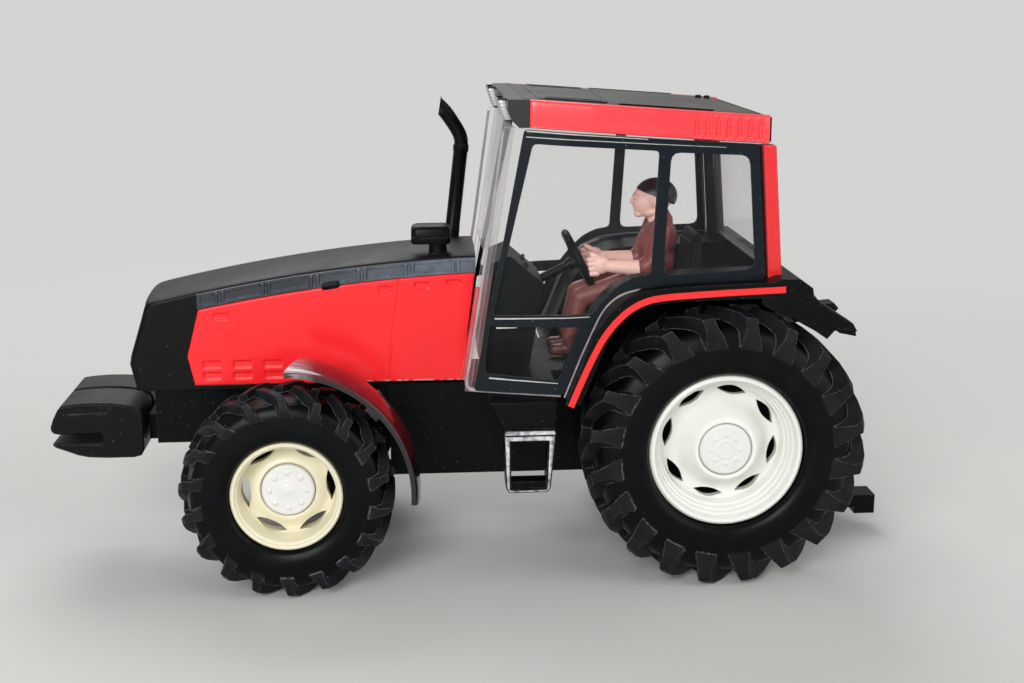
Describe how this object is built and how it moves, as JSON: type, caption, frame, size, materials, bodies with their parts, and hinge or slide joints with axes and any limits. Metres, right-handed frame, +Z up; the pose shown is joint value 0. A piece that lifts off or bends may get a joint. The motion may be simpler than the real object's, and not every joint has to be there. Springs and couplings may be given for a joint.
{
  "type": "toy farm tractor",
  "caption": "Toy farm tractor with a glazed cab, seated driver figure, red hood panels and roof, front weights, rolling treaded wheels and steered front axle.",
  "frame": {"origin": "on the ground, under the middle of the length and width", "axes": "+X forward, +Y to the left side, +Z up"},
  "size_m": [0.1748, 0.0686, 0.0962],
  "materials": {
    "tyre_rubber": "moulded rubber with a dull sheen",
    "wheel_white": "white moulded plastic",
    "wheel_cream": "cream moulded plastic",
    "cap_white": "white moulded plastic",
    "casting_black": "black moulded plastic",
    "axle_steel": "bare steel pin",
    "gloss_black": "gloss black plastic",
    "red_paint": "gloss red paint on die-cast metal",
    "red_plastic": "gloss red plastic",
    "roof_grey": "dark grey plastic",
    "clear_plastic": "clear moulded glazing",
    "pillar_black": "black paint on clear glazing",
    "weight_grey": "dark grey moulded plastic",
    "seat_grey": "dark grey plastic",
    "driver_figure": "painted plastic figure"
  },
  "bodies": {
    "chassis": {"chassis": "casting_black", "front_axle_beam": "casting_black", "tow_hook": "casting_black", "top_link_bracket": "casting_black", "cab_floor": "casting_black", "air_intake": "casting_black", "exhaust": "casting_black", "weight_carrier": "casting_black", "dash_console": "casting_black", "steering_wheel": "casting_black", "rear_axle": "axle_steel", "step_left": "casting_black", "step_right": "casting_black", "mudguard_left": "casting_black", "mudguard_right": "casting_black", "hood_top": "gloss_black", "hood_side_left": "red_paint", "hood_side_right": "red_paint", "rear_post_left": "red_plastic", "rear_post_right": "red_plastic", "roof_shell": "red_plastic", "roof_cover": "roof_grey", "front_weights": "weight_grey", "side_glass_left": "clear_plastic", "side_glass_right": "clear_plastic", "windscreen": "clear_plastic", "rear_window": "clear_plastic", "side_frame_left": "pillar_black", "side_frame_right": "pillar_black", "seat": "seat_grey", "driver": "driver_figure"},
    "rear_wheel_left": {"rear_tyre_left": "tyre_rubber", "rear_rim_left": "wheel_white", "rear_hub_cap_left": "cap_white"},
    "front_wheel_left": {"front_tyre_left": "tyre_rubber", "front_rim_left": "wheel_cream", "front_hub_cap_left": "cap_white"},
    "knuckle_left": {"knuckle_left": "casting_black", "front_fender_left": "gloss_black"},
    "rear_wheel_right": {"rear_tyre_right": "tyre_rubber", "rear_rim_right": "wheel_white", "rear_hub_cap_right": "cap_white"},
    "front_wheel_right": {"front_tyre_right": "tyre_rubber", "front_rim_right": "wheel_cream", "front_hub_cap_right": "cap_white"},
    "knuckle_right": {"knuckle_right": "casting_black", "front_fender_right": "gloss_black"},
    "tie_rod": {"tie_rod": "casting_black"}
  },
  "joints": [
    {"name": "rear_wheel_left_spin", "type": "hinge", "parent": "chassis", "child": "rear_wheel_left", "pos_m": [-0.04745, 0.026, 0.02805], "axis": [0, 1, 0], "continuous": true},
    {"name": "rear_wheel_right_spin", "type": "hinge", "parent": "chassis", "child": "rear_wheel_right", "pos_m": [-0.04745, -0.026, 0.02805], "axis": [0, 1, 0], "continuous": true},
    {"name": "steer_left", "type": "hinge", "parent": "chassis", "child": "knuckle_left", "pos_m": [0.03845, 0.0152, 0.02097], "axis": [0, 0, 1], "range_deg": [-20, 20]},
    {"name": "front_wheel_left_spin", "type": "hinge", "parent": "knuckle_left", "child": "front_wheel_left", "pos_m": [0.03845, 0.0273, 0.02097], "axis": [0, 1, 0], "continuous": true},
    {"name": "steer_right", "type": "hinge", "parent": "chassis", "child": "knuckle_right", "pos_m": [0.03845, -0.0152, 0.02097], "axis": [0, 0, 1], "range_deg": [-20, 20]},
    {"name": "front_wheel_right_spin", "type": "hinge", "parent": "knuckle_right", "child": "front_wheel_right", "pos_m": [0.03845, -0.0273, 0.02097], "axis": [0, 1, 0], "continuous": true},
    {"name": "tie_rod_pivot", "type": "hinge", "parent": "knuckle_left", "child": "tie_rod", "pos_m": [0.02995, 0.0152, 0.01755], "axis": [0, 0, 1], "range_deg": [-20, 20]}
  ],
  "couplings": [
    {"joint": "steer_right", "follows": "steer_left", "ratio": 1},
    {"joint": "tie_rod_pivot", "follows": "steer_left", "ratio": -1}
  ]
}
